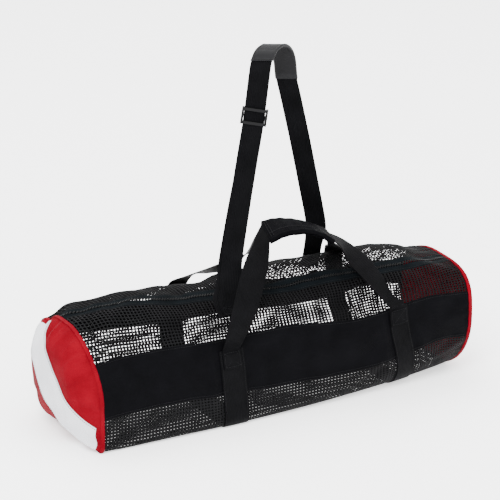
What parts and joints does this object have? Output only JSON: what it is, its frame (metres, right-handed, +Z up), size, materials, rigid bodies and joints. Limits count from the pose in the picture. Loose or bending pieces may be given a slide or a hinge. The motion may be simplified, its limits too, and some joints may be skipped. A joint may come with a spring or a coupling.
{
  "type": "mesh dive gear bag",
  "caption": "Long soft duffle of black see-through net with cloth bands, round red cloth ends, a zip along the top, webbing carry handles and a shoulder strap.",
  "frame": {"origin": "middle of the footprint, on the floor that the bag lies on", "axes": "+X along the bag to the right end, -Y towards its front, +Z up"},
  "size_m": [0.8296, 0.2622, 0.6724],
  "materials": {
    "black_net": "open polyester net",
    "black_cloth": "coated woven cloth, matt",
    "red_cloth": "woven nylon, slight sheen",
    "white_cloth": "woven nylon",
    "black_webbing": "ribbed polypropylene webbing",
    "black_plastic": "moulded, satin",
    "black_zip": "zip tape and coil"
  },
  "bodies": {
    "root": {"net_top_front": "black_net", "net_top_back": "black_net", "net_bottom": "black_net", "panel_front": "black_cloth", "panel_back": "black_cloth", "zip_coil": "black_zip", "zip_tape_front": "black_zip", "zip_tape_back": "black_zip", "zip_slider": "black_plastic", "end_cap_left": "red_cloth", "end_cap_right": "red_cloth", "end_stripe_left": "white_cloth", "end_stripe_right": "white_cloth", "piping_left": "red_cloth", "piping_right": "red_cloth", "belly_strap_left": "black_webbing", "belly_strap_right": "black_webbing", "handle_front": "black_webbing", "handle_back": "black_webbing", "handle_wrap": "black_webbing", "shoulder_strap": "black_webbing", "shoulder_strap_under": "black_webbing", "strap_slider": "black_plastic", "shoulder_pad": "black_cloth"}
  },
  "joints": []
}
